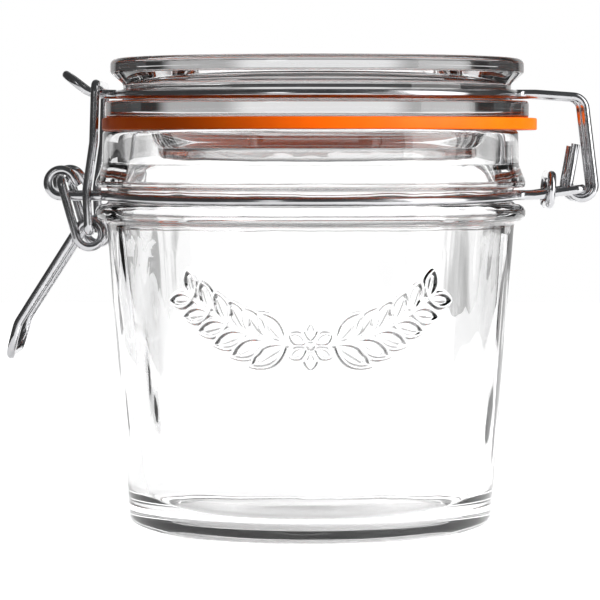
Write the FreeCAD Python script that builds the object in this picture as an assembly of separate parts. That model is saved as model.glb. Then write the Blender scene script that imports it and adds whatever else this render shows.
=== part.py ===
import FreeCAD, Part
import math
import os

# Clip-top preserving jar of 0.35 litre, empty, with its lid clamped shut.
# Millimetres. Z is up along the jar's axis and the jar stands on Z = 0.
# The clasp is at -X and the lid's hinge at +X. The wires are alike at +Y and -Y.

Vector = FreeCAD.Vector

# Jar glass: widths are built out from the mouth, and heights down from the sealing land.
jar_height = 86.9
mouth_radius = 41.2
finish_wall = 4.2
finish_height = 7.5
finish_draft = 0.15
flare_width = 1.6
flare_edge_height = 1.3
flare_height = 5.0
groove_depth = 2.7
groove_height = 3.2
bead_width = 2.75
bead_height = 4.3
bead_bend = 2.05
bead_step = 2.4
body_taper = 5.25
heel_bend = 5.0
wall = 4.1
neck_step = 0.6
neck_step_height = 24.6
floor_height = 5.6
floor_crown = 0.5
inner_heel_bend = 7.5
base_rise = 2.4
base_slope = 9.0
base_bend = 14.0
bearing_width = 2.0

# Bends of moulded glass: a crisp corner, a soft one and the lid's broad dish.
crisp_bend = 0.7
soft_bend = 1.0
dish_bend = 5.0

# Lid glass, on an axis of its own that lies a little towards the hinge.
lid_shift = 1.4
lid_height = 13.0
flange_overhang = 0.9
flange_height = 4.2
lid_groove_depth = 3.9
lid_groove_height = 3.1
rim_inset = 1.1
rim_height = 3.2
rim_bend = 1.4
rim_width = 5.2
dish_slope = 3.5
dish_depth = 1.2
lid_thickness = 6.6
ceiling_crown = 0.4
plug_clearance = 1.2
plug_land_depth = 1.5
plug_bevel = 3.7
plug_bevel_height = 2.7
plug_draft = 0.3
plug_depth = 7.0
plug_ring_width = 4.6
plug_ring_slope = 1.6
plug_bend = 1.5

# Rubber seal, a flat ring round the lid's plug.
seal_thickness = 2.5
seal_overhang = 2.1
seal_slack = 0.8
seal_shift = 0.5
seal_gap = 0.05
seal_bend = 0.3

# Wire, the same gauge in every piece, and the clearances that it runs with.
wire_diameter = 1.9
seat_gap = 0.1
side_gap = 0.25
pin_clearance = 0.25
eye_clearance = 0.45
small_bend = 3.0
arm_run_bend = 8.0
pin_bend = 1.5
pin_overhang = 0.8

# Hinge: the neck wire's hairpin, its collar ring and the lid wire's two hooks.
hinge_reach = 11.7
hinge_rise = 1.45
hinge_half_width = 9.0
collar_inset = 6.8
collar_lift = 0.4
collar_lean = 4.0
collar_half_height = 3.2
collar_side_gap = 0.35
collar_joint = 0.4
arm_play = 0.2
arm_drop = 0.75
arm_bend = 2.8
arm_lean = 7.0
hook_radius = 2.8
stub_lean = 10.0
stub_length_front = 8.6
stub_length_rear = 8.1

# Clasp: the neck wire's eyes, the lever, the link and the lid wire's tab.
eye_reach = 6.62
eye_radius = 2.85
eye_half_spread = 13.5
eye_tail_angle = 35.0
eye_tail_length = 2.6
throw_across = 6.12
throw_down = 11.7
loop_radius = 2.75
handle_slope = 57.5
handle_length = 24.5
handle_bend = 6.0
grip_slope = 75.0
grip_length = 7.3
grip_bend = 5.0
link_standoff = 2.2
link_top_run = 12.5
link_low_run = 8.6
link_waist = 0.4
link_kink_bend = 9.0
link_corner_bend = 2.4
tab_half_width = 4.0
tab_slope = 38.0
tab_start = 1.9
tab_length = 6.9
tab_bend = 6.0

# Places that the sizes above give.
wire_radius = wire_diameter / 2
finish_radius = mouth_radius + finish_wall
flare_radius = finish_radius + flare_width
groove_radius = flare_radius - groove_depth
bead_radius = groove_radius + bead_width
body_top_radius = bead_radius - bead_step
heel_radius = body_top_radius - body_taper
flare_top = jar_height - finish_height
flare_low = flare_top - flare_height
groove_low = flare_low - groove_height
bead_low = groove_low - bead_height
neck_wire_height = groove_low + groove_height / 2
neck_ring_radius = groove_radius + wire_radius + seat_gap

flange_radius = finish_radius + flange_overhang
rim_radius = flange_radius - rim_inset
lid_groove_radius = flange_radius - lid_groove_depth
plug_radius = mouth_radius - lid_shift - plug_clearance
seal_low = jar_height + seal_gap
lid_low = seal_low + seal_thickness
lid_top = lid_low + lid_height
flange_top = lid_low + flange_height
lid_wire_height = flange_top + seat_gap + wire_radius
lid_ring_radius = lid_groove_radius + wire_radius + seat_gap

hinge = Vector(bead_radius + hinge_reach, 0, neck_wire_height + hinge_rise)
hook = hinge + Vector(0, 0, hook_radius - wire_diameter - pin_clearance)
arm_half_spread = hinge_half_width - pin_bend - wire_radius + arm_play
eye = Vector(-bead_radius - eye_reach, 0, neck_wire_height + eye_radius)
lever_pivot = eye + Vector(0, 0, eye_radius - wire_diameter - eye_clearance)
loop = lever_pivot + Vector(throw_across, 0, -throw_down)
link_pivot = loop + Vector(0, 0, loop_radius - wire_diameter - pin_clearance)
leg_half_spread = eye_half_spread + wire_diameter + side_gap
link_half_spread = leg_half_spread + wire_diameter + side_gap
pin_end = eye_half_spread - wire_radius - pin_overhang
link_bar = Vector(
    lid_shift - rim_radius - link_standoff, 0, lid_wire_height + wire_diameter + seat_gap
)

# A corner with this bend gets an arc that takes half of its shorter run.
FIT = None


def rounded_path(corners):
    """Straight runs between corner points, joined by tangent arcs of each corner's bend."""
    points = [point for point, bend in corners]
    edges = []
    start = points[0]
    for index in range(1, len(points) - 1):
        corner, bend = corners[index]
        into = corner - points[index - 1]
        away = points[index + 1] - corner
        turn = into.getAngle(away)
        reach = min(into.Length, away.Length) / 2
        if bend is not FIT:
            reach = bend * math.tan(turn / 2)
        if reach < 1e-6:
            continue
        radius = reach / math.tan(turn / 2)
        into.normalize()
        away.normalize()
        inward = (away - into).normalize()
        first = corner - into * reach
        middle = corner + inward * (radius / math.cos(turn / 2) - radius)
        last = corner + away * reach
        if (first - start).Length > 1e-5:
            edges.append(Part.LineSegment(start, first).toShape())
        edges.append(Part.Arc(first, middle, last).toShape())
        start = last
    edges.append(Part.LineSegment(start, points[-1]).toShape())
    return Part.Wire(edges)


def turned_glass(outline, shift):
    """Solid of revolution from (radius, height, bend) corners that start and end on the axis."""
    corners = [(Vector(radius, 0, height), bend) for radius, height, bend in outline]
    half = rounded_path(corners)
    axis_edge = Part.LineSegment(corners[-1][0], corners[0][0]).toShape()
    face = Part.Face(Part.Wire(half.Edges + [axis_edge]))
    solid = face.revolve(Vector(0, 0, 0), Vector(0, 0, 1), 360)
    solid.translate(Vector(shift, 0, 0))
    return solid


def bent_wire(corners):
    """Round wire swept along a rounded path, with square-cut ends."""
    path = rounded_path(corners)
    direction = corners[1][0] - corners[0][0]
    section = Part.Wire([Part.Circle(corners[0][0], direction, wire_radius).toShape()])
    return path.makePipeShell([section], True, False)


def arc_corners(centre, radius, start, end, steps, plane, offsets=(0, 0)):
    """Corners of a polygon round a circle, which become its arcs once they are rounded.

    Angles are in degrees. plane gives the circle's two directions, and offsets how far the
    first and last corner stand out of it.
    """
    across, up = plane
    normal = up.cross(across)
    step = math.radians(end - start) / steps
    reach = radius / math.cos(step / 2)
    corners = []
    for index in range(steps):
        angle = math.radians(start) + step * (index + 0.5)
        share = index / max(steps - 1, 1)
        out = offsets[0] + (offsets[1] - offsets[0]) * share
        point = centre + across * (reach * math.cos(angle)) + up * (reach * math.sin(angle))
        corners.append(point + normal * out)
    return corners


flat = (Vector(1, 0, 0), Vector(0, 1, 0))
upright = (Vector(1, 0, 0), Vector(0, 0, 1))


def ring_exit(ring_radius, half_spread, bend):
    """Where a ring ends in an arm parallel to X at this half spread.

    Gives the ring's last angle in degrees, the corner between the ring's tangent and the
    arm, and the X at which the arm runs straight, all from the ring's centre.
    """
    side = half_spread + bend
    along = math.sqrt((ring_radius + bend) ** 2 - side**2)
    angle = math.atan2(side, along)
    touch = Vector(math.cos(angle), math.sin(angle), 0) * ring_radius
    tangent = Vector(math.sin(angle), -math.cos(angle), 0)
    corner = touch + tangent * ((touch.y - half_spread) / math.cos(angle))
    return math.degrees(angle), corner, along


def mirrored(corners):
    """The same corners on the other side of the XZ plane, in reverse order."""
    return [(Vector(point.x, -point.y, point.z), bend) for point, bend in reversed(corners)]


def jar_glass():
    """Tapered body with a heel, a bead, the wire's groove, a flare and a plain finish."""
    inner_top = body_top_radius - wall
    inner_low = heel_radius - wall
    step_height = jar_height - neck_step_height
    heel_inside = inner_low + (inner_top - inner_low) * floor_height / bead_low
    bearing_radius = heel_radius - heel_bend
    outline = [
        (0, base_rise, 0),
        (bearing_radius - base_slope, base_rise, base_bend),
        (bearing_radius - bearing_width, 0, soft_bend),
        (heel_radius, 0, heel_bend),
        (body_top_radius, bead_low, crisp_bend),
        (bead_radius, bead_low, bead_bend),
        (bead_radius, groove_low, bead_bend),
        (groove_radius, groove_low, crisp_bend),
        (groove_radius, flare_low, crisp_bend),
        (flare_radius, flare_low, crisp_bend),
        (flare_radius, flare_low + flare_edge_height, soft_bend),
        (finish_radius + finish_draft, flare_top, crisp_bend),
        (finish_radius, jar_height, soft_bend),
        (mouth_radius, jar_height, soft_bend),
        (inner_top + neck_step, step_height + soft_bend, soft_bend),
        (inner_top, step_height, soft_bend),
        (heel_inside, floor_height, inner_heel_bend),
        (0, floor_height + floor_crown, 0),
    ]
    return turned_glass(outline, 0)


def lid_glass():
    """Dished disc with a rim, the wire's groove, a flange and a hollow plug below."""
    rim_low = lid_top - rim_height
    groove_top = flange_top + lid_groove_height
    bevel_top = seal_low - plug_land_depth
    bevel_low = bevel_top - plug_bevel_height
    plug_low = seal_low - plug_depth
    plug_tip = plug_radius - plug_bevel
    ring_inside = plug_tip - plug_ring_width
    ceiling = lid_top - dish_depth - lid_thickness
    dish_edge = rim_radius - rim_width
    outline = [
        (0, ceiling + ceiling_crown, 0),
        (ring_inside - plug_ring_slope, ceiling, dish_bend),
        (ring_inside, plug_low, plug_bend),
        (plug_tip - plug_draft, plug_low, soft_bend),
        (plug_tip, bevel_low, crisp_bend),
        (plug_radius, bevel_top, crisp_bend),
        (plug_radius, lid_low, seal_bend),
        (flange_radius, lid_low, crisp_bend),
        (flange_radius, flange_top, crisp_bend),
        (lid_groove_radius, flange_top, crisp_bend),
        (lid_groove_radius, groove_top, soft_bend),
        (rim_radius, rim_low, crisp_bend),
        (rim_radius, lid_top, rim_bend),
        (dish_edge, lid_top, dish_bend),
        (dish_edge - dish_slope, lid_top - dish_depth, dish_bend),
        (0, lid_top - dish_depth, 0),
    ]
    return turned_glass(outline, lid_shift)


def seal_ring():
    """Flat rubber ring that lies on the land and stands out past the lid at the hinge."""
    inner_radius = plug_radius + seal_slack
    outer_radius = finish_radius + seal_overhang
    base = Vector(lid_shift + seal_shift, 0, seal_low)
    ring = Part.makeCylinder(outer_radius, seal_thickness, base)
    ring = ring.cut(Part.makeCylinder(inner_radius, seal_thickness, base))
    return ring.makeFillet(seal_bend, ring.Edges).Solids[0]


def neck_wire():
    """Ring in the jar's groove, with the hinge hairpin and, opposite, two eyes."""
    level = Vector(0, 0, neck_wire_height)
    hinge_angle, hinge_corner, hinge_start = ring_exit(
        neck_ring_radius, hinge_half_width, small_bend
    )
    eye_angle, eye_corner, eye_start = ring_exit(neck_ring_radius, eye_half_spread, small_bend)
    side = Vector(0, eye_half_spread, 0)
    tail = math.radians(eye_tail_angle)
    tail_start = eye + Vector(math.cos(tail), 0, math.sin(tail)) * eye_radius
    tail_tip = tail_start + Vector(math.sin(tail), 0, -math.cos(tail)) * eye_tail_length
    half = [(tail_tip + side, 0)]
    for point in arc_corners(eye + side, eye_radius, eye_tail_angle, 270, 5, upright):
        half.append((point, eye_radius))
    half.append((level + Vector(-eye_corner.x, eye_corner.y, 0), small_bend))
    for point in arc_corners(
        level, neck_ring_radius, 180 - eye_angle, hinge_angle, 4, flat
    ):
        half.append((point, neck_ring_radius))
    half.append((level + hinge_corner, small_bend))
    leg_start = level + Vector(hinge_start + wire_diameter, hinge_half_width, 0)
    half.append((leg_start, arm_run_bend))
    half.append((hinge + Vector(0, hinge_half_width, 0), pin_bend))
    return bent_wire(half + mirrored(half))


def hinge_collar():
    """Ring of wire that ties the two legs of the hairpin, its ends butted underneath."""
    leg_length = hinge.x - neck_ring_radius
    leg_rise = hinge_rise * (1 - collar_inset / leg_length)
    centre = Vector(hinge.x - collar_inset, 0, neck_wire_height + leg_rise + collar_lift)
    end_reach = hinge_half_width + wire_diameter + collar_side_gap
    low = Vector(0, 0, -collar_half_height)
    high = Vector(0, 0, collar_half_height)
    side = Vector(0, end_reach, 0)
    half = [
        (centre + low + Vector(0, collar_joint / 2, 0), 0),
        (centre + low + side, collar_half_height),
        (centre + high + side, collar_half_height),
    ]
    collar = bent_wire(half + mirrored(half))
    collar.rotate(centre, Vector(0, 1, 0), collar_lean)
    return collar


def lid_wire():
    """Ring in the lid's groove, with the tab at the clasp and two hooks at the hinge."""
    level = Vector(lid_shift, 0, lid_wire_height)
    arm_angle, arm_corner, arm_start = ring_exit(lid_ring_radius, arm_half_spread, small_bend)
    tab_angle, tab_corner, tab_reach = ring_exit(lid_ring_radius, tab_half_width, small_bend)
    tab_foot = Vector(link_bar.x - tab_start, tab_half_width, lid_wire_height)
    slope = math.radians(tab_slope)
    tab_end = tab_foot + Vector(-math.cos(slope), 0, math.sin(slope)) * tab_length
    lean = math.radians(arm_lean)
    stub = math.radians(180 - stub_lean)
    arm_top = lid_wire_height - arm_drop
    arm_foot = hook + Vector(math.cos(lean), 0, math.sin(lean)) * hook_radius
    arm_x = arm_foot.x - (arm_top - arm_foot.z) * math.tan(lean)

    def half(stub_length):
        side = Vector(0, arm_half_spread, 0)
        stub_foot = hook + Vector(math.cos(stub), 0, math.sin(stub)) * hook_radius
        stub_tip = stub_foot + Vector(math.sin(stub), 0, -math.cos(stub)) * stub_length
        corners = [(stub_tip + side, 0)]
        for point in arc_corners(
            hook + side, hook_radius, 180 - stub_lean, 360 + arm_lean, 4, upright
        ):
            corners.append((point, hook_radius))
        corners.append((Vector(arm_x, arm_half_spread, arm_top), arm_bend))
        arm_run = level + Vector(arm_start + wire_diameter, arm_half_spread, 0)
        corners.append((arm_run, arm_run_bend))
        corners.append((level + arm_corner, small_bend))
        for point in arc_corners(
            level, lid_ring_radius, arm_angle, 180 - tab_angle, 4, flat
        ):
            corners.append((point, lid_ring_radius))
        corners.append((level + Vector(-tab_corner.x, tab_corner.y, 0), small_bend))
        corners.append((tab_foot, tab_bend))
        corners.append((tab_end, tab_half_width * 0.98))
        return corners

    return bent_wire(half(stub_length_rear) + mirrored(half(stub_length_front)))


def lever_wire():
    """Pins in the eyes, legs down to the link's loops, then the handle that is pulled."""
    to_loop = loop - lever_pivot
    swing = math.degrees(math.atan2(to_loop.z, to_loop.x))
    swing -= math.degrees(math.asin(loop_radius / to_loop.Length))
    leg_touch = swing - 90 + 360
    handle_touch = 360 + 90 + handle_slope
    slope = math.radians(handle_slope)
    touch = math.radians(handle_touch)
    handle_start = loop + Vector(math.cos(touch), 0, math.sin(touch)) * loop_radius
    grip_top = handle_start + Vector(-math.cos(slope), 0, -math.sin(slope)) * handle_length
    slope = math.radians(grip_slope)
    grip_end = grip_top + Vector(-math.cos(slope), 0, -math.sin(slope)) * grip_length
    half = [
        (lever_pivot + Vector(0, pin_end, 0), 0),
        (lever_pivot + Vector(0, leg_half_spread, 0), pin_bend),
    ]
    for point in arc_corners(
        loop, loop_radius, leg_touch, handle_touch, 7, upright, (leg_half_spread, eye_half_spread)
    ):
        half.append((point, FIT))
    handle_side = Vector(0, eye_half_spread, 0)
    half.append((grip_top + handle_side, handle_bend))
    half.append((grip_end + handle_side, grip_bend))
    return bent_wire(half + mirrored(half))


def clip_link():
    """Springy frame from the lever's loops up and over the lid wire's tab."""
    side = Vector(0, link_half_spread, 0)
    half = [
        (link_pivot + Vector(0, pin_end, 0), 0),
        (link_pivot + side, pin_bend),
        (link_pivot + side + Vector(-link_waist, 0, link_low_run), link_kink_bend),
        (link_bar + side + Vector(-link_waist, 0, -link_top_run), link_kink_bend),
        (link_bar + side, link_corner_bend),
    ]
    return bent_wire(half + mirrored(half))


pieces = {
    "jar_glass": jar_glass,
    "neck_wire": neck_wire,
    "hinge_collar": hinge_collar,
    "lid_glass": lid_glass,
    "seal_ring": seal_ring,
    "lid_wire": lid_wire,
    "lever_wire": lever_wire,
    "clip_link": clip_link,
}

os.makedirs("parts", exist_ok=True)
for node, make in pieces.items():
    shape = make()
    shape.exportStep(f"parts/{node}.step")
    print(node, shape.ShapeType, len(shape.Solids), shape.isValid(), round(shape.Volume, 1))
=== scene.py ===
import math

import bmesh
import bpy
from mathutils import Matrix, Vector, noise


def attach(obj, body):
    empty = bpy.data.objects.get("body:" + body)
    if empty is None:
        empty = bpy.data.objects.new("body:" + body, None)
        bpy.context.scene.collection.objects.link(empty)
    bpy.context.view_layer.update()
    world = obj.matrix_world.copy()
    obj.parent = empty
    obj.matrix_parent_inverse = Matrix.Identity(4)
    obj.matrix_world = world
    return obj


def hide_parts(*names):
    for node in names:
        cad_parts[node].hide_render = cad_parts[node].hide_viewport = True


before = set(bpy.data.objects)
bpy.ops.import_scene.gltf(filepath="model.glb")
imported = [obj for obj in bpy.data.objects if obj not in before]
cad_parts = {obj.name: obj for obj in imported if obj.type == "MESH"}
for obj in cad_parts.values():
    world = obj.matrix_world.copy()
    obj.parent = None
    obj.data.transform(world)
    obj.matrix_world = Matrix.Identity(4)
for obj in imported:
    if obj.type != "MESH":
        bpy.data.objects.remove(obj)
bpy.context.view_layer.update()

mm = 0.001
weldDistance = 1e-6              # metres; vertices nearer than this are one
smoothAngle = math.radians(40)   # sharper edges than this stay sharp


def startFresh():
    if bpy.context.object and bpy.context.object.mode != "OBJECT":
        bpy.ops.object.mode_set(mode="OBJECT")
    bpy.ops.object.select_all(action="DESELECT")


def editOnly(obj):
    startFresh()
    obj.select_set(True)
    bpy.context.view_layer.objects.active = obj
    bpy.ops.object.mode_set(mode="EDIT")


def pick(obj, verts=None, edges=None, faces=None):
    # selects what the given tests accept, as a hand would with the mouse
    bm = bmesh.from_edit_mesh(obj.data)
    bpy.ops.mesh.select_all(action="DESELECT")
    modes = (verts is not None, edges is not None, faces is not None)
    bpy.context.tool_settings.mesh_select_mode = modes
    for items, test in ((bm.verts, verts), (bm.edges, edges), (bm.faces, faces)):
        if test is None:
            continue
        for item in items:
            item.select_set(bool(test(item)))
    bm.select_flush_mode()
    bmesh.update_edit_mesh(obj.data)


def hexColour(text):
    # sRGB hex to the linear colour that the shaders want
    values = [int(text[i:i + 2], 16) / 255 for i in (1, 3, 5)]
    linear = [v / 12.92 if v <= 0.04045 else ((v + 0.055) / 1.055) ** 2.4 for v in values]
    return (*linear, 1.0)


def addNode(tree, kind, links=None, **settings):
    # links: input name or number -> (node, output name or number)
    node = tree.nodes.new(kind)
    for key, value in settings.items():
        if hasattr(node, key):
            setattr(node, key, value)
        else:
            node.inputs[key.replace("_", " ")].default_value = value
    for target, (source, output) in (links or {}).items():
        tree.links.new(source.outputs[output], node.inputs[target])
    return node


def newMaterial(name):
    material = bpy.data.materials.new(name)
    material.use_nodes = True
    tree = material.node_tree
    tree.nodes.clear()
    return material, tree


glassLook = {
    "tint": "#FDFDFD",
    "ior": 1.52,
    "roughness": 0.0,
    "depthTint": "#CFCFD0",
    "depthDensity": 12.0,
    "waveSize": 14 * mm,
    "waveHeight": 0.03 * mm,
}


def pressedSodaLimeGlass():
    # soda-lime glass, fire-polished: clear and colourless, faintly grey only where it is deep,
    # with the slow waves that the mould leaves on its skin
    material, tree = newMaterial("pressedSodaLimeGlass")
    coords = addNode(tree, "ShaderNodeTexCoord")
    waves = addNode(tree, "ShaderNodeTexNoise", {"Vector": (coords, "Object")},
                    Scale=1 / glassLook["waveSize"], Detail=1.5)
    bump = addNode(tree, "ShaderNodeBump", {"Height": (waves, "Fac")},
                   Distance=glassLook["waveHeight"], Strength=1.0)
    skin = addNode(tree, "ShaderNodeBsdfPrincipled", {"Normal": (bump, "Normal")},
                   Base_Color=hexColour(glassLook["tint"]), Roughness=glassLook["roughness"],
                   IOR=glassLook["ior"], Transmission_Weight=1.0)
    depth = addNode(tree, "ShaderNodeVolumeAbsorption", Color=hexColour(glassLook["depthTint"]),
                    Density=glassLook["depthDensity"])
    addNode(tree, "ShaderNodeOutputMaterial", {"Surface": (skin, 0), "Volume": (depth, 0)})
    return material


rubberLook = {
    "dark": "#E45600",
    "light": "#F26800",
    "roughness": 0.5,
    "shine": 0.06,
    "ior": 1.52,
    "patch": 9 * mm,
    "grain": 0.6 * mm,
    "grainHeight": 0.02 * mm,
    "glow": 0.15,
    "glowDepth": 1.5 * mm,
}


def naturalRubber():
    # pressed natural rubber, pigmented orange: a satin skin that lets a little light through
    material, tree = newMaterial("orangeNaturalRubber")
    coords = addNode(tree, "ShaderNodeTexCoord")
    patches = addNode(tree, "ShaderNodeTexNoise", {"Vector": (coords, "Object")},
                      Scale=1 / rubberLook["patch"], Detail=3.0)
    colour = addNode(tree, "ShaderNodeMix", {"Factor": (patches, "Fac")}, data_type="RGBA")
    colour.inputs[6].default_value = hexColour(rubberLook["dark"])
    colour.inputs[7].default_value = hexColour(rubberLook["light"])
    grain = addNode(tree, "ShaderNodeTexNoise", {"Vector": (coords, "Object")},
                    Scale=1 / rubberLook["grain"], Detail=2.0)
    bump = addNode(tree, "ShaderNodeBump", {"Height": (grain, "Fac")},
                   Distance=rubberLook["grainHeight"], Strength=0.6)
    skin = addNode(tree, "ShaderNodeBsdfPrincipled",
                   {"Base Color": (colour, 2), "Normal": (bump, "Normal")},
                   Roughness=rubberLook["roughness"], IOR=rubberLook["ior"],
                   Specular_IOR_Level=rubberLook["shine"],
                   Subsurface_Weight=rubberLook["glow"], Subsurface_Scale=rubberLook["glowDepth"])
    skin.inputs["Subsurface Radius"].default_value = (1.0, 0.4, 0.1)
    addNode(tree, "ShaderNodeOutputMaterial", {"Surface": (skin, 0)})
    return material


wireLook = {
    "dark": "#A2A2A4",
    "light": "#BEBEC0",
    "roughness": 0.14,
    "patch": 3.5 * mm,
    "scratch": 0.25 * mm,
    "scratchHeight": 0.002 * mm,
}


def drawnSteelWire():
    # drawn steel wire, bright zinc plated: a clear reflection broken by faint tool marks
    material, tree = newMaterial("platedSteelWire")
    coords = addNode(tree, "ShaderNodeTexCoord")
    patches = addNode(tree, "ShaderNodeTexNoise", {"Vector": (coords, "Object")},
                      Scale=1 / wireLook["patch"], Detail=3.0)
    colour = addNode(tree, "ShaderNodeMix", {"Factor": (patches, "Fac")}, data_type="RGBA")
    colour.inputs[6].default_value = hexColour(wireLook["dark"])
    colour.inputs[7].default_value = hexColour(wireLook["light"])
    rough = addNode(tree, "ShaderNodeMapRange", {"Value": (patches, "Fac")})
    rough.inputs["To Min"].default_value = wireLook["roughness"] * 0.7
    rough.inputs["To Max"].default_value = wireLook["roughness"] * 1.5
    marks = addNode(tree, "ShaderNodeTexNoise", {"Vector": (coords, "Object")},
                    Scale=1 / wireLook["scratch"], Detail=2.0)
    bump = addNode(tree, "ShaderNodeBump", {"Height": (marks, "Fac")},
                   Distance=wireLook["scratchHeight"], Strength=0.5)
    skin = addNode(tree, "ShaderNodeBsdfPrincipled",
                   {"Base Color": (colour, 2), "Roughness": (rough, 0), "Normal": (bump, "Normal")},
                   Metallic=1.0)
    addNode(tree, "ShaderNodeOutputMaterial", {"Surface": (skin, 0)})
    return material


turning = {"steps": 240, "cornerSegments": 6, "longestRun": 2.5 * mm}


def drawOutline(name, corners):
    # a plane merged to one vertex in the XZ plane, then pulled from corner to corner;
    # corners are (radius, height, bend), in millimetres
    startFresh()
    bpy.context.tool_settings.mesh_select_mode = (True, False, False)
    bpy.ops.mesh.primitive_plane_add(size=mm, location=(0, 0, 0))
    obj = bpy.context.object
    obj.name = obj.data.name = name
    bpy.ops.object.mode_set(mode="EDIT")
    bpy.ops.mesh.merge(type="CENTER")
    points = [Vector((radius, 0, height)) * mm for radius, height, bend in corners]
    bpy.ops.transform.translate(value=points[0])
    for before, after in zip(points, points[1:]):
        bpy.ops.mesh.extrude_region_move(TRANSFORM_OT_translate={"value": after - before})
    for index in range(1, len(points) - 1):
        bend = corners[index][2] * mm
        if bend == 0:
            continue
        turn = (points[index] - points[index - 1]).angle(points[index + 1] - points[index])
        offset = bend * math.tan(turn / 2)
        pick(obj, verts=lambda v: (v.co - points[index]).length < weldDistance)
        bpy.ops.mesh.bevel(affect="VERTICES", offset_type="OFFSET", offset=offset,
                           segments=turning["cornerSegments"], profile=0.5)
    return obj


def splitLongRuns(obj, fineRun=None):
    # fineRun: a test for the edges that the ornament is pressed into, which are split twice as often
    while True:
        pick(obj, edges=lambda e: e.calc_length() > turning["longestRun"])
        if not any(e.select for e in bmesh.from_edit_mesh(obj.data).edges):
            break
        bpy.ops.mesh.subdivide(number_cuts=1)
    if fineRun:
        pick(obj, edges=fineRun)
        bpy.ops.mesh.subdivide(number_cuts=1)


def spinOutline(obj, centreX=0.0, fineRun=None):
    splitLongRuns(obj, fineRun)
    bpy.ops.mesh.select_all(action="SELECT")
    bpy.ops.mesh.spin(steps=turning["steps"], angle=math.tau, center=(0, 0, 0), axis=(0, 0, 1))
    bpy.ops.mesh.select_all(action="SELECT")
    bpy.ops.mesh.remove_doubles(threshold=weldDistance)
    bpy.ops.mesh.normals_make_consistent(inside=False)
    bpy.ops.transform.translate(value=(centreX * mm, 0, 0))
    startFresh()
    obj.select_set(True)
    bpy.context.view_layer.objects.active = obj
    bpy.ops.object.shade_smooth_by_angle(angle=smoothAngle)
    return obj


def finishPiece(obj, material, slotName, body, *nodes):
    obj.data.materials.clear()
    obj.data.materials.append(material)
    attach(obj, body)
    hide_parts(*nodes)


jar = {
    # all in millimetres
    "height": 86.9, "mouthRadius": 41.2, "finishRadius": 45.4, "flareRadius": 47.0,
    "beadRadius": 47.05, "grooveRadius": 44.3, "bodyRadius": 44.65, "heelRadius": 39.4,
    # bands, from the mouth down
    "finishHeight": 7.5, "flareHeight": 5.0, "grooveHeight": 3.2, "wireSag": 0.3, "beadFoot": 7.5,
    # the foot: a push-up inside the ring that the jar stands on
    "puntRadius": 26.4, "punt": 0.8, "standRadius": 33.4, "heelBend": 3.0,
    # the inside, left by the plunger
    "wall": 4.1, "shoulderTop": 66.0, "shoulderLow": 60.0, "shoulderStep": 0.6, "shoulderBend": 9.0,
    "floor": 2.4, "floorRise": 0.5, "floorRadius": 35.55, "floorBend": 7.0,
    # how uneven that inside is, and how high above the floor and below the mouth it starts and fades
    "waveHeight": 0.42, "waveWidth": 9.0, "waveLength": 55.0,
    "waveStart": 8.0, "waveFadeIn": 14.0, "waveStop": 3.0, "waveFadeOut": 12.0,
}


def jarLevels():
    flare = jar["height"] - jar["finishHeight"]             # where the flare meets the finish
    low = flare - jar["flareHeight"]                        # under the flare
    groove = low - jar["grooveHeight"] - jar["wireSag"]     # top of the bead
    bead = low - jar["beadFoot"]                            # under the bead
    return flare, low, groove, bead


def jarOutline():
    flare, low, groove, bead = jarLevels()
    inner = jar["bodyRadius"] - jar["wall"]
    return [
        (0, jar["punt"], 0),
        (jar["puntRadius"], jar["punt"], 14.0),
        (jar["standRadius"], 0, 1.0),
        (jar["heelRadius"] + 0.1, 0, jar["heelBend"]),
        (jar["bodyRadius"], bead, 0.7),
        (jar["beadRadius"], bead, 2.05),
        (jar["beadRadius"], groove, 2.05),
        (jar["grooveRadius"], groove, 0.7),
        (jar["grooveRadius"], low, 0.7),
        (jar["flareRadius"], low, 0.7),
        (jar["flareRadius"], low + 1.3, 1.0),
        (jar["finishRadius"] + 0.15, flare, 0.7),
        (jar["finishRadius"], jar["height"], 1.0),
        (jar["mouthRadius"], jar["height"], 1.0),
        (inner + jar["shoulderStep"], jar["shoulderTop"], jar["shoulderBend"]),
        (inner, jar["shoulderLow"], jar["shoulderBend"]),
        (jar["floorRadius"], jar["floor"], jar["floorBend"]),
        (0, jar["floor"] + jar["floorRise"], 0),
    ]


def smoothStep(value):
    value = min(max(value, 0.0), 1.0)
    return value * value * (3 - 2 * value)


def waveInside(obj):
    # the inner wall is slowly wavy, quicker round the jar than along it; the outside is true
    nearWall = (jar["bodyRadius"] - jar["wall"] + 0.8) * mm
    for vertex in obj.data.vertices:
        radius = math.hypot(vertex.co.x, vertex.co.y)
        height = vertex.co.z / mm
        if not 20 * mm <= radius < nearWall or height <= jar["floor"] + 0.2:
            continue
        place = Vector((vertex.co.x / mm / jar["waveWidth"], vertex.co.y / mm / jar["waveWidth"],
                        height / jar["waveLength"]))
        fromMouth = jar["height"] - jar["waveStop"] - height
        fade = (smoothStep((height - jar["waveStart"]) / jar["waveFadeIn"])
                * smoothStep(fromMouth / jar["waveFadeOut"]))
        shift = noise.noise(place * 1.0) + 0.4 * noise.noise(place * 2.7 + Vector((7, 3, 5)))
        scale = 1 + jar["waveHeight"] * mm * shift * fade / radius
        vertex.co.x *= scale
        vertex.co.y *= scale


ornament = {
    "centreHeight": 42.0,  # of the garland's lowest point
    "halfWidth": 26.5, "sag": 10.0, "relief": 0.8, "edge": 0.6,
    "leaves": 6, "leafLength": 4.6, "leafWidth": 2.2, "leafTilt": 40.0,
    "petals": 6, "petalLength": 1.7, "petalWidth": 0.95, "eyeRadius": 0.9, "stemWidth": 0.6,
    # the patch of wall that is cut fine for it: below and above its middle, and to each side
    "fieldBelow": 6.0, "fieldAbove": 9.0, "fieldSide": 31.0, "fieldCuts": 4,
}


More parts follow.
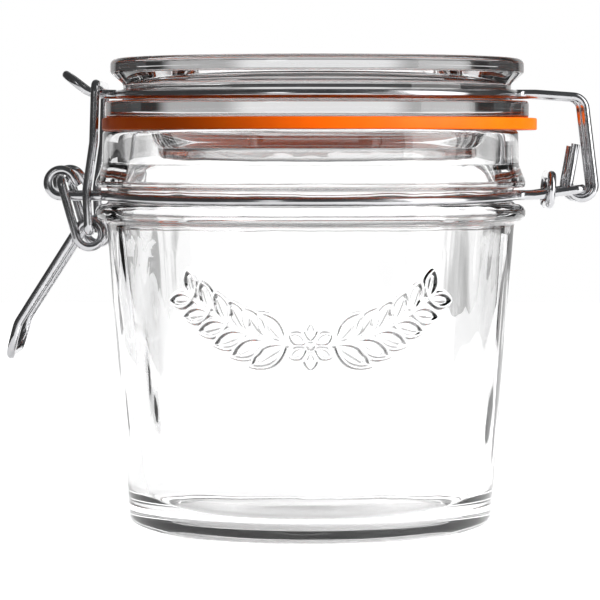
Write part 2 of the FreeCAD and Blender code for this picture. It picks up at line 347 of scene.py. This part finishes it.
def garlandShapes():
    # leaves in pairs along a hanging stem, and a small flower at its middle
    o = ornament
    leaves = []
    for side in (-1, 1):
        for index in range(o["leaves"]):
            share = (index + 1.2) / (o["leaves"] + 0.4)
            along = side * share * o["halfWidth"]
            height = o["centreHeight"] + o["sag"] * share * share
            slope = math.atan2(2 * o["sag"] * share / o["halfWidth"], 1)
            size = 1.0 - 0.35 * share
            for turn in (-1, 1):
                angle = slope + turn * math.radians(o["leafTilt"])
                reach = (o["leafLength"] * size + 0.3)
                leaves.append((along + side * math.cos(angle) * reach, height + math.sin(angle) * reach,
                               side, angle, o["leafLength"] * size, o["leafWidth"] * size))
    for index in range(o["petals"]):
        angle = math.tau * (index + 0.5) / o["petals"]
        reach = o["eyeRadius"] + o["petalLength"] + 0.5
        leaves.append((math.cos(angle) * reach, o["centreHeight"] + math.sin(angle) * reach,
                       1, angle, o["petalLength"], o["petalWidth"]))
    return leaves


def reliefAt(along, height, leaves):
    # how far the glass stands out, in mm, at this place on the front of the jar
    o = ornament
    best = 0.0
    for centreAlong, centreHeight, side, angle, length, width in leaves:
        da, dh = along - centreAlong, height - centreHeight
        if abs(da) > length + 1 or abs(dh) > length + 1:
            continue
        p = (da * side * math.cos(angle) + dh * math.sin(angle)) / length
        q = -da * side * math.sin(angle) + dh * math.cos(angle)
        if abs(p) > 1.1:
            continue
        border = abs(width * (1 - p * p) - abs(q))
        vein = abs(q) / 0.8 if -1 < p < 0.55 else 1
        best = max(best, smoothStep(1.15 - border / o["edge"]), 0.6 * smoothStep(1 - vein))
    away = math.hypot(along, height - o["centreHeight"])
    best = max(best, smoothStep(1.4 - away / o["eyeRadius"]))
    if 4.5 < abs(along) < o["halfWidth"]:
        stem = o["centreHeight"] + o["sag"] * (along / o["halfWidth"]) ** 2
        best = max(best, 0.8 * smoothStep((o["stemWidth"] - abs(height - stem)) / 0.5 + 0.5))
    return best * o["relief"]


def pressOrnament(obj):
    o = ornament
    editOnly(obj)
    low, high = o["centreHeight"] - o["fieldBelow"], o["centreHeight"] + o["sag"] + o["fieldAbove"]
    bead = jarLevels()[3]

    def inField(face):
        centre = face.calc_center_median() / mm
        radius = math.hypot(centre.x, centre.y)
        return (centre.y < 0 and abs(centre.x) < o["fieldSide"] and low < centre.z < high
                and radius > jar["bodyRadius"] - jar["wall"] + 0.6)

    pick(obj, faces=inField)
    bpy.ops.mesh.subdivide(number_cuts=o["fieldCuts"])
    startFresh()
    leaves = garlandShapes()
    for vertex in obj.data.vertices:
        x, y, z = vertex.co / mm
        radius = math.hypot(x, y)
        outer = jar["heelRadius"] + (jar["bodyRadius"] - jar["heelRadius"]) * z / bead
        if y > 0 or abs(x) > o["fieldSide"] + 2 or not low < z < high or radius < outer - 0.6:
            continue
        rise = reliefAt(radius * math.asin(x / radius), z, leaves)
        vertex.co.x *= 1 + rise / radius
        vertex.co.y *= 1 + rise / radius


def makeJar(material):
    obj = drawOutline("jarGlass", jarOutline())

    def underOrnament(edge):
        middle = (edge.verts[0].co + edge.verts[1].co) / 2 / mm
        return 34 < middle.z < 62 and middle.x > jar["heelRadius"] + 1.5

    spinOutline(obj, fineRun=underOrnament)
    waveInside(obj)
    pressOrnament(obj)
    finishPiece(obj, material, "clear_glass", "jar", "jar_glass")
    return obj


lid = {
    "centre": 1.4, "low": 89.45, "height": 13.0, "rimRadius": 45.2, "grooveRadius": 42.4,
    "flangeRadius": 46.3, "flangeHeight": 3.75, "grooveHeight": 3.55, "rimHeight": 3.2,
    # the plug: a short straight tip, then a bevel out to its full width
    "plugRadius": 38.6, "plugTip": 34.9, "plugLow": 79.95,
    "bevelLow": 82.75, "bevelHigh": 85.35, "bevelBulge": 4.0,
    # the shallow hollow underneath; above it the lid is one thick lens of glass
    "ceiling": 84.0, "hollowTop": 29.8, "hollowMouth": 30.3,
    # the dish in the top
    "dishRim": 40.0, "dishRadius": 36.5, "dishDepth": 1.2,
}


def lidOutline():
    top = lid["low"] + lid["height"]
    flange = lid["low"] + lid["flangeHeight"]
    dish = top - lid["dishDepth"]
    return [
        (0, lid["ceiling"] + 0.4, 0),
        (lid["hollowTop"], lid["ceiling"], 2.0),
        (lid["hollowMouth"], lid["plugLow"], 1.0),
        (lid["plugTip"] - 0.3, lid["plugLow"], 1.0),
        (lid["plugTip"], lid["bevelLow"], 0.3),
        (lid["plugTip"] + 1.9, (lid["bevelLow"] + lid["bevelHigh"]) / 2, lid["bevelBulge"]),
        (lid["plugRadius"], lid["bevelHigh"], 0.3),
        (lid["plugRadius"], lid["low"], 0.3),
        (lid["flangeRadius"], lid["low"], 0.7),
        (lid["flangeRadius"], flange, 0.7),
        (lid["grooveRadius"], flange, 0.7),
        (lid["grooveRadius"], flange + lid["grooveHeight"], 1.0),
        (lid["rimRadius"], top - lid["rimHeight"], 0.7),
        (lid["rimRadius"], top, 1.4),
        (lid["dishRim"], top, 5.0),
        (lid["dishRadius"], dish, 5.0),
        (0, dish, 0),
    ]


def makeLid(material):
    obj = drawOutline("lidGlass", lidOutline())
    spinOutline(obj, lid["centre"])
    finishPiece(obj, material, "clear_glass", "lid", "lid_glass")
    return obj


seal = {
    "centre": 1.9, "inner": 39.4, "outer": 47.49, "edge": 0.3,
    "low": 86.88, "high": 89.47,  # a few hundredths into the glass, as rubber pressed flat wets it
}


def makeSeal(material):
    # a flat washer, stamped from sheet; the start and the end of its outline are the same corner
    inner, outer, low, high, edge = (seal[k] for k in ("inner", "outer", "low", "high", "edge"))
    outline = [
        (inner, (low + high) / 2, 0),
        (inner, low, edge),
        (outer, low, edge),
        (outer, high, edge),
        (inner, high, edge),
        (inner, (low + high) / 2, 0),
    ]
    obj = drawOutline("sealRing", outline)
    spinOutline(obj, seal["centre"])
    finishPiece(obj, material, "orange_rubber", "lid", "seal_ring")
    return obj


# how much lower a ring of wire hangs in front and behind than at its two bends
ringSag = {"neck_wire": 0.9 * mm, "lid_wire": 0.45 * mm}

wires = {
    "neck_wire": ("neckWire", "jar"),
    "hinge_collar": ("hingeCollar", "jar"),
    "lid_wire": ("lidWire", "lid"),
    "lever_wire": ("leverWire", "lever"),
    "clip_link": ("clipLink", "link"),
}


def makeWire(node, name, body, material):
    startFresh()
    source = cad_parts[node]
    obj = source.copy()
    obj.data = source.data.copy()
    obj.name = obj.data.name = name
    obj.parent = None
    obj.matrix_world = Matrix.Identity(4)
    bpy.context.collection.objects.link(obj)
    editOnly(obj)
    bpy.ops.mesh.select_all(action="SELECT")
    bpy.ops.mesh.remove_doubles(threshold=weldDistance)
    startFresh()
    if node in ringSag:
        ring = jar["grooveRadius"] * mm
        for vertex in obj.data.vertices:
            vertex.co.z -= ringSag[node] * smoothStep(abs(vertex.co.y) / ring)
    obj.select_set(True)
    bpy.context.view_layer.objects.active = obj
    bpy.ops.object.shade_smooth_by_angle(angle=smoothAngle)
    finishPiece(obj, material, "bright_wire", body, node)
    return obj


studio = {
    "cameraDistance": 762 * mm, "cameraHeight": 83 * mm, "focal": 208.7,
    "pitch": 2.505, "yaw": 0.175,
}


def makeCamera():
    data = bpy.data.cameras.new("camera")
    data.lens = studio["focal"]
    data.sensor_width = 36
    data.clip_start, data.clip_end = 0.01, 20
    camera = bpy.data.objects.new("camera", data)
    bpy.context.collection.objects.link(camera)
    camera.location = (0, -studio["cameraDistance"], studio["cameraHeight"])
    camera.rotation_euler = (math.radians(90 - studio["pitch"]), 0, math.radians(studio["yaw"]))
    bpy.context.scene.camera = camera
    bpy.context.view_layer.update()
    return camera


table = {
    "radius": 1.1, "steps": 96,
    "glow": 0.9, "paintedShadowGlow": 0.3, "paintedShadowInner": 31 * mm, "paintedShadowOuter": 38 * mm,  # painted shadow: the glow is dimmer in a disc under the jar's foot
}


def makeFloor():
    startFresh()
    bpy.ops.mesh.primitive_circle_add(vertices=table["steps"], radius=table["radius"],
                                      fill_type="NGON", location=(0, 0, 0))
    floor = bpy.context.object
    floor.name = "floor"
    material, tree = newMaterial("whiteAcrylicTable")
    # opal acrylic table top lit from below, as for product work
    coords = addNode(tree, "ShaderNodeTexCoord")
    away = addNode(tree, "ShaderNodeVectorMath", {0: (coords, "Object")}, operation="LENGTH")
    # painted contact shadow: the glow falls to a third of itself in a disc under the jar's foot
    paintedFootShadow = addNode(tree, "ShaderNodeMapRange", {"Value": (away, "Value")}, interpolation_type="SMOOTHSTEP",
                   From_Min=table["paintedShadowInner"], From_Max=table["paintedShadowOuter"],
                   To_Min=table["paintedShadowGlow"], To_Max=table["glow"])
    skin = addNode(tree, "ShaderNodeBsdfPrincipled", {"Emission Strength": (paintedFootShadow, 0)},
                   Base_Color=hexColour("#F4F4F4"), Roughness=0.6, Emission_Color=hexColour("#FFFFFF"))
    addNode(tree, "ShaderNodeOutputMaterial", {"Surface": (skin, 0)})
    floor.data.materials.append(material)
    floor.visible_diffuse = False


sky = {"room": 0.12, "roomColour": "#E8ECEF", "paper": 1.0, "paperColour": "#FFFFFF"}


def makeWorld():
    # a dim room round the set, and clean white paper where the camera looks past the jar
    world = bpy.data.worlds.new("studio")
    bpy.context.scene.world = world
    world.use_nodes = True
    tree = world.node_tree
    tree.nodes.clear()
    path = addNode(tree, "ShaderNodeLightPath")
    room = addNode(tree, "ShaderNodeBackground", Strength=sky["room"])
    room.inputs["Color"].default_value = hexColour(sky["roomColour"])
    paper = addNode(tree, "ShaderNodeBackground", Strength=sky["paper"])
    paper.inputs["Color"].default_value = hexColour(sky["paperColour"])
    mix = addNode(tree, "ShaderNodeMixShader", {0: (path, "Is Camera Ray"), 1: (room, 0), 2: (paper, 0)})
    addNode(tree, "ShaderNodeOutputWorld", {"Surface": (mix, 0)})


backdrop = {
    "away": 0.80, "width": 1.40, "height": 1.00, "strength": 1.25,
    "bright": (0.15, 0.24, 0.52),      # white out to the first, then falling to this share at the second
    "dim": (0.44, 0.56, 0.06),
    "fade": (0.26, 0.50, 0.20),        # the same going up
}
cards = {
    # name: (x, y, width, height, turn about Z, strength), metres; +y is away from the camera
    "flagLeft": (-0.24, -0.05, 0.70, 0.60, -83, 0.08),
    "flagRight": (0.24, -0.05, 0.70, 0.60, 83, 0.08),
    "stripRight": (0.225, -0.16, 0.28, 0.50, 90, 2.6),
}


def falloff(tree, source, output, limits):
    # 1 below the first limit, the third number past the second, a smooth slope between
    start, end, share = limits
    return addNode(tree, "ShaderNodeMapRange", {"Value": (source, output)}, interpolation_type="SMOOTHSTEP",
                   From_Min=start, From_Max=end, To_Min=1.0, To_Max=share)


def multiply(tree, first, second):
    return addNode(tree, "ShaderNodeMath", {0: (first, 0), 1: (second, 0)}, operation="MULTIPLY")


def makeCard(rig, name, place, size, turn):
    startFresh()
    bpy.ops.mesh.primitive_plane_add(size=1, location=(0, 0, 0))
    card = bpy.context.object
    card.name = name
    card.parent = rig
    card.scale = (*size, 1)
    card.rotation_euler = (math.radians(90), 0, math.radians(turn))
    card.location = (*place, size[1] / 2 - 0.01)
    material, tree = newMaterial(name)
    card.data.materials.append(material)
    card.visible_camera = False
    card.visible_diffuse = False
    card.visible_shadow = False
    return tree


def makeCards(camera):
    # light cards round the table; they turn with the camera, as the table turns under a fixed set
    rig = bpy.data.objects.new("cardRig", None)
    bpy.context.collection.objects.link(rig)
    follow = rig.constraints.new("LOCKED_TRACK")
    follow.target = camera
    follow.track_axis = "TRACK_NEGATIVE_Y"
    follow.lock_axis = "LOCK_Z"
    for name, (x, y, width, height, turn, strength) in cards.items():
        tree = makeCard(rig, name, (x, y), (width, height), turn)
        glow = addNode(tree, "ShaderNodeEmission", Strength=strength)
        addNode(tree, "ShaderNodeOutputMaterial", {"Surface": (glow, 0)})
    # the paper behind: white in the middle, falling off to the sides and upwards
    b = backdrop
    tree = makeCard(rig, "backdrop", (0, b["away"]), (b["width"], b["height"]), 0)
    coords = addNode(tree, "ShaderNodeTexCoord")
    metres = addNode(tree, "ShaderNodeMapping", {"Vector": (coords, "Object")})
    metres.inputs["Scale"].default_value = (b["width"], b["height"], 1)
    parts = addNode(tree, "ShaderNodeSeparateXYZ", {0: (metres, 0)})
    side = addNode(tree, "ShaderNodeMath", {0: (parts, 0)}, operation="ABSOLUTE")
    rise = addNode(tree, "ShaderNodeMath", {0: (parts, 1)}, operation="ADD")
    rise.inputs[1].default_value = b["height"] / 2
    grade = multiply(tree, falloff(tree, side, 0, b["bright"]), falloff(tree, side, 0, b["dim"]))
    grade = multiply(tree, grade, falloff(tree, rise, 0, b["fade"]))
    level = addNode(tree, "ShaderNodeMath", {0: (grade, 0)}, operation="MULTIPLY")
    level.inputs[1].default_value = b["strength"]
    glow = addNode(tree, "ShaderNodeEmission", {"Strength": (level, 0)})
    addNode(tree, "ShaderNodeOutputMaterial", {"Surface": (glow, 0)})


lamps = {
    # name: (place, size, power), metres and watts
    "keyRight": ((1.0, -0.62, 0.35), 0.7, 34.0),
    "fillLeft": ((-0.6, -1.2, 0.5), 0.5, 2.0),
}


def makeLamps():
    for name, (place, size, power) in lamps.items():
        data = bpy.data.lights.new(name, "AREA")
        data.size = size
        data.energy = power
        lamp = bpy.data.objects.new(name, data)
        bpy.context.collection.objects.link(lamp)
        lamp.location = place
        lamp.rotation_euler = (Vector((0, 0, 0.06)) - lamp.location).to_track_quat("-Z", "Y").to_euler()


def main():
    print("materials")
    glass = pressedSodaLimeGlass()
    rubber = naturalRubber()
    steel = drawnSteelWire()
    print("glass and seal")
    makeJar(glass)
    makeLid(glass)
    makeSeal(rubber)
    print("wires")
    for node, (name, body) in wires.items():
        makeWire(node, name, body, steel)
    print("studio")
    camera = makeCamera()
    makeFloor()
    makeWorld()
    makeCards(camera)
    makeLamps()
    bpy.context.scene.view_settings.view_transform = "Standard"


main()
